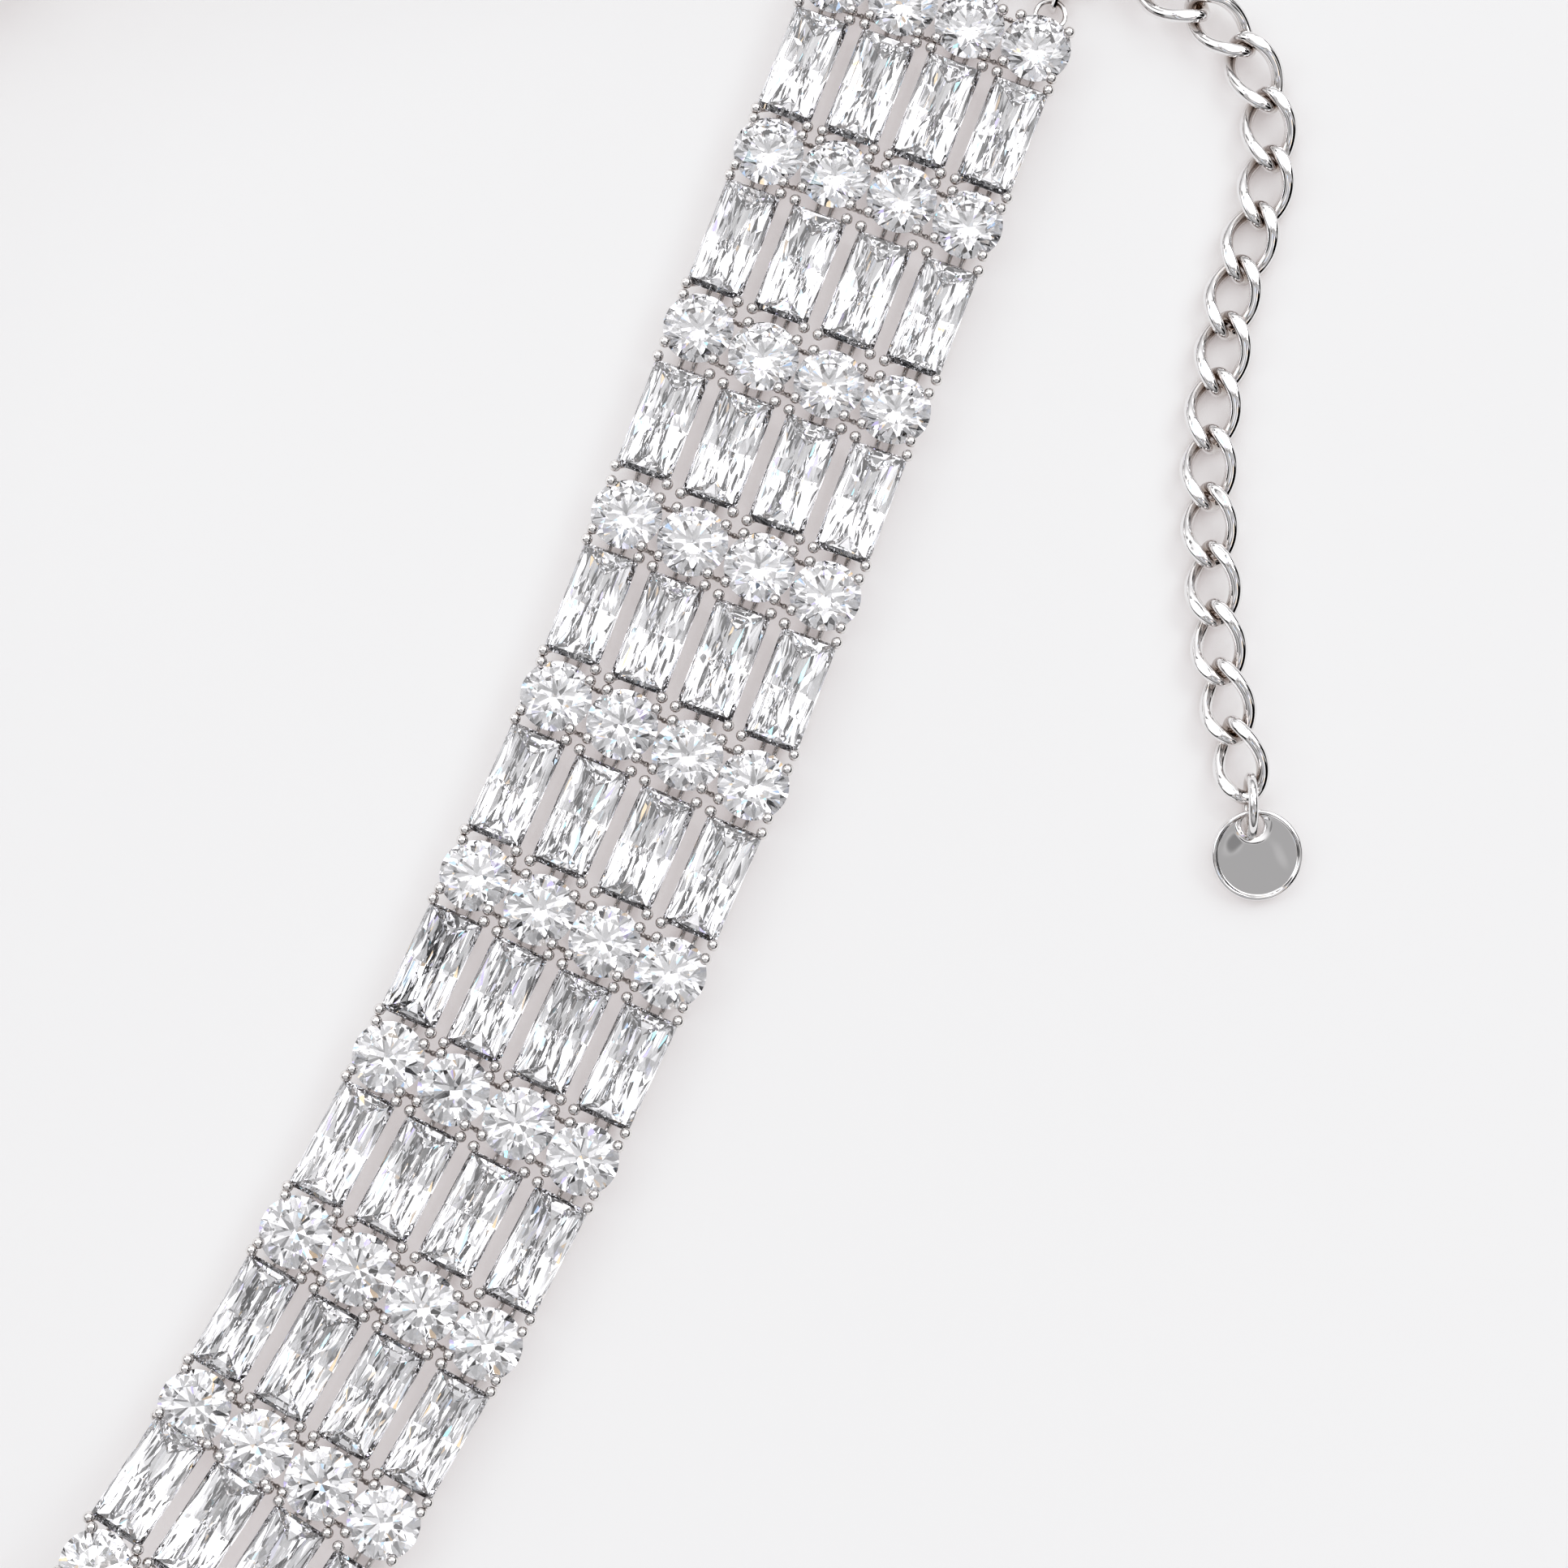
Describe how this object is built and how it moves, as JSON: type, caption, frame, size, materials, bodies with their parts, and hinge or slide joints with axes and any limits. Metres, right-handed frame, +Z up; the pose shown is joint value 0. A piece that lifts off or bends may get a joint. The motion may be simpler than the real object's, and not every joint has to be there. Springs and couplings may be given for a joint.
{
  "type": "choker necklace",
  "caption": "Choker necklace: parallel strands of round and oblong cut crystals in silver settings, closed by a clasp, with an extender chain and a plain round tag.",
  "frame": {"origin": "middle of the bottom of the whole necklace as it lies", "axes": "+Z up from the surface it lies on, +Y along the loop's long way towards the clasp, +X towards the flat stretch of the front"},
  "size_m": [0.1212, 0.1516, 0.0173],
  "materials": {
    "crystal": "faceted and polished",
    "silver": "mirror polish"
  },
  "bodies": {
    "root": {"strand_1": "crystal", "strand_2": "crystal", "strand_3": "crystal", "strand_4": "crystal", "start_ring_1": "silver", "start_ring_2": "silver", "start_ring_3": "silver", "start_ring_4": "silver", "far_ring_1": "silver", "far_ring_2": "silver", "far_ring_3": "silver", "far_ring_4": "silver", "start_bar": "silver", "far_bar": "silver", "clasp_ring": "silver", "tail_ring": "silver", "clasp": "silver", "chain_ring": "silver", "chain_link_01": "silver", "chain_link_02": "silver", "chain_link_03": "silver", "chain_link_04": "silver", "chain_link_05": "silver", "chain_link_06": "silver", "chain_link_07": "silver", "chain_link_08": "silver", "chain_link_09": "silver", "chain_link_10": "silver", "chain_link_11": "silver", "chain_link_12": "silver", "chain_link_13": "silver", "chain_link_14": "silver", "chain_link_15": "silver", "chain_link_16": "silver", "chain_link_17": "silver", "tag_ring": "silver", "tag": "silver"}
  },
  "joints": []
}
